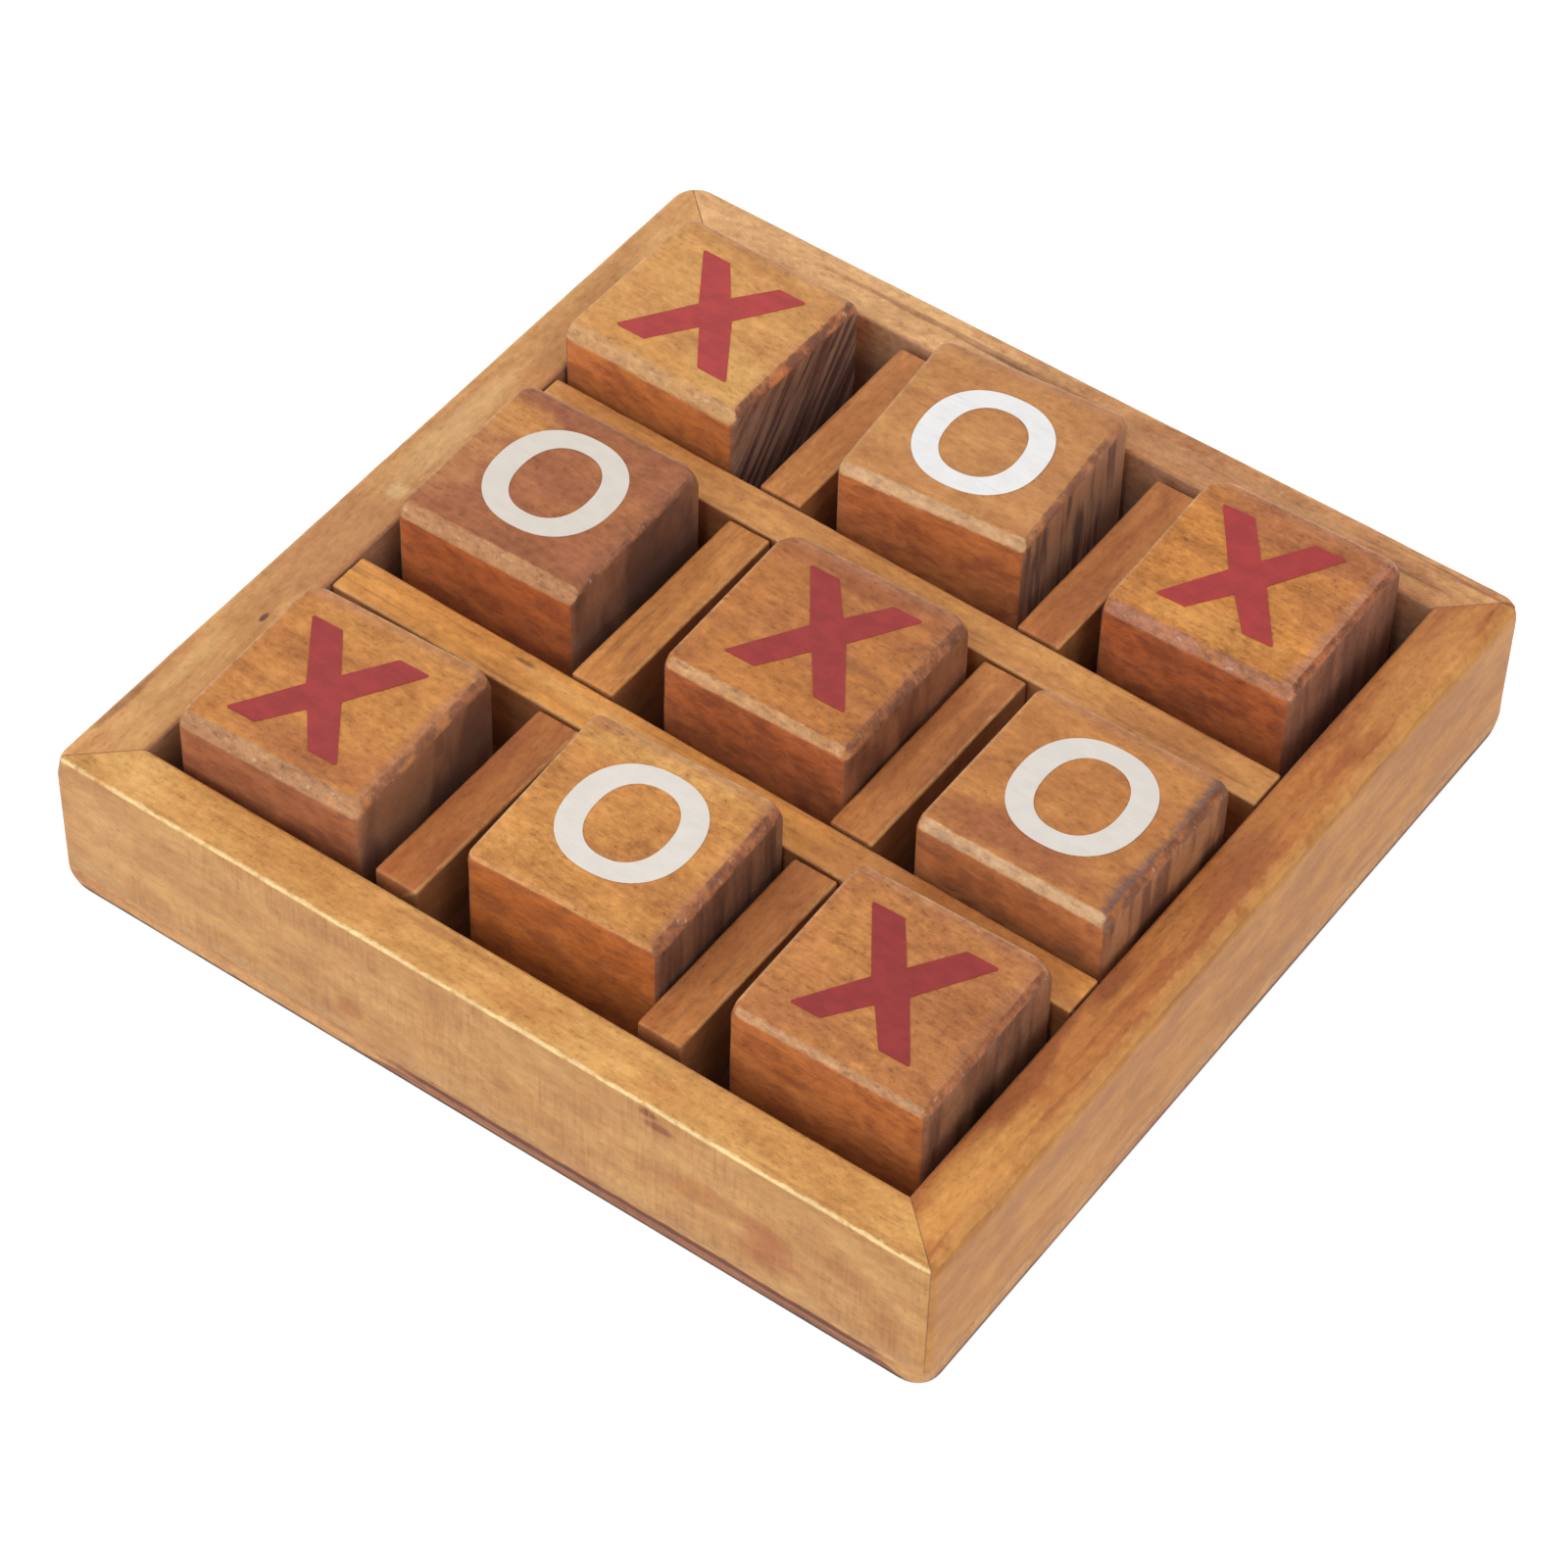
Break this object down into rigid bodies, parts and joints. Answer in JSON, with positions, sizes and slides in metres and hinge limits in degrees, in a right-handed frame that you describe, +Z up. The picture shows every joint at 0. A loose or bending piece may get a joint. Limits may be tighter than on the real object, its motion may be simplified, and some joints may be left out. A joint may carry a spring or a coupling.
{
  "type": "tic tac toe set",
  "caption": "Wooden tic tac toe set: mitred tray with a glued divider grid and loose cubes printed with a red X or a white O, lifted out by hand.",
  "frame": {"origin": "centre of the tray's underside", "axes": "+X along the front rail towards the right rail, +Y from the front rail to the back rail, +Z up"},
  "size_m": [0.1406, 0.1406, 0.0338],
  "materials": {
    "base_wood": "oiled",
    "rail_wood": "oiled, end grain hidden in the mitres",
    "divider_wood": "oiled",
    "cube_wood": "oiled, worn pale along the front arris",
    "dark_cube_wood": "oiled",
    "red_paint": "printed paint",
    "white_paint": "printed paint"
  },
  "bodies": {
    "tray": {"base_board": "base_wood", "front_rail": "rail_wood", "right_rail": "rail_wood", "back_rail": "rail_wood", "left_rail": "rail_wood", "front_long_divider": "divider_wood", "rear_long_divider": "divider_wood", "front_left_divider": "divider_wood", "front_right_divider": "divider_wood", "middle_left_divider": "divider_wood", "middle_right_divider": "divider_wood", "rear_left_divider": "divider_wood", "rear_right_divider": "divider_wood"},
    "back_left_cube": {"back_left_block": "cube_wood", "back_left_x_mark": "red_paint"},
    "back_middle_cube": {"back_middle_block": "cube_wood", "back_middle_o_mark": "white_paint"},
    "back_right_cube": {"back_right_block": "cube_wood", "back_right_x_mark": "red_paint"},
    "middle_left_cube": {"middle_left_block": "dark_cube_wood", "middle_left_o_mark": "white_paint"},
    "centre_cube": {"centre_block": "cube_wood", "centre_x_mark": "red_paint"},
    "middle_right_cube": {"middle_right_block": "cube_wood", "middle_right_o_mark": "white_paint"},
    "front_left_cube": {"front_left_block": "cube_wood", "front_left_x_mark": "red_paint"},
    "front_middle_cube": {"front_middle_block": "cube_wood", "front_middle_o_mark": "white_paint"},
    "front_right_cube": {"front_right_block": "cube_wood", "front_right_x_mark": "red_paint"}
  },
  "joints": [
    {"name": "back_left_cube_lift", "type": "slide", "parent": "tray", "child": "back_left_cube", "axis": [0, 0, 1], "range_m": [0, 0.036]},
    {"name": "back_middle_cube_lift", "type": "slide", "parent": "tray", "child": "back_middle_cube", "axis": [0, 0, 1], "range_m": [0, 0.036]},
    {"name": "back_right_cube_lift", "type": "slide", "parent": "tray", "child": "back_right_cube", "axis": [0, 0, 1], "range_m": [0, 0.036]},
    {"name": "middle_left_cube_lift", "type": "slide", "parent": "tray", "child": "middle_left_cube", "axis": [0, 0, 1], "range_m": [0, 0.036]},
    {"name": "centre_cube_lift", "type": "slide", "parent": "tray", "child": "centre_cube", "axis": [0, 0, 1], "range_m": [0, 0.036]},
    {"name": "middle_right_cube_lift", "type": "slide", "parent": "tray", "child": "middle_right_cube", "axis": [0, 0, 1], "range_m": [0, 0.036]},
    {"name": "front_left_cube_lift", "type": "slide", "parent": "tray", "child": "front_left_cube", "axis": [0, 0, 1], "range_m": [0, 0.036]},
    {"name": "front_middle_cube_lift", "type": "slide", "parent": "tray", "child": "front_middle_cube", "axis": [0, 0, 1], "range_m": [0, 0.036]},
    {"name": "front_right_cube_lift", "type": "slide", "parent": "tray", "child": "front_right_cube", "axis": [0, 0, 1], "range_m": [0, 0.036]}
  ]
}
